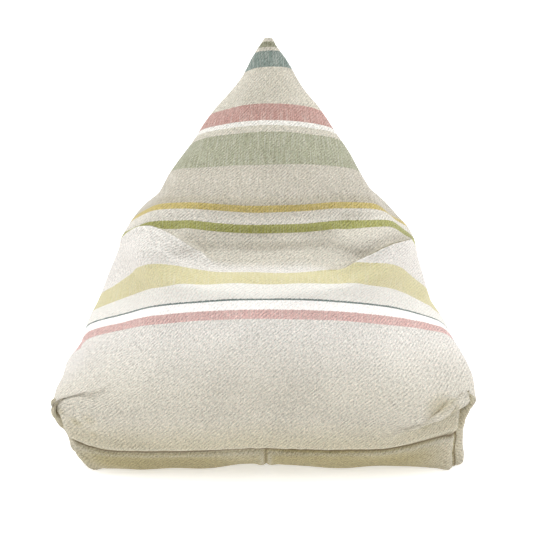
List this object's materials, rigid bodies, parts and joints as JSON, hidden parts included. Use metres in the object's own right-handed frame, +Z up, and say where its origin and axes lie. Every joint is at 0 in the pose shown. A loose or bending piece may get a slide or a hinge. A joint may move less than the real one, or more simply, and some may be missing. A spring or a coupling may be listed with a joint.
{
  "type": "pyramid floor pouf",
  "caption": "Soft pyramid floor pouf: a striped cotton bag drawn up to a point, with a low seat at the front, a leaning back and boxed front corners, filled with loose beads.",
  "frame": {"origin": "centre of the bounding box on the floor", "axes": "+Z up to the tip, -Y towards the front seam and seat, +X to the right when seen from the front"},
  "size_m": [0.872, 0.9392, 0.768],
  "materials": {
    "cotton_twill": "matt cotton twill with woven cross stripes in yellow, olive, gold, sage, dusty pink and teal"
  },
  "bodies": {
    "root": {"cover": "cotton_twill"}
  },
  "joints": []
}
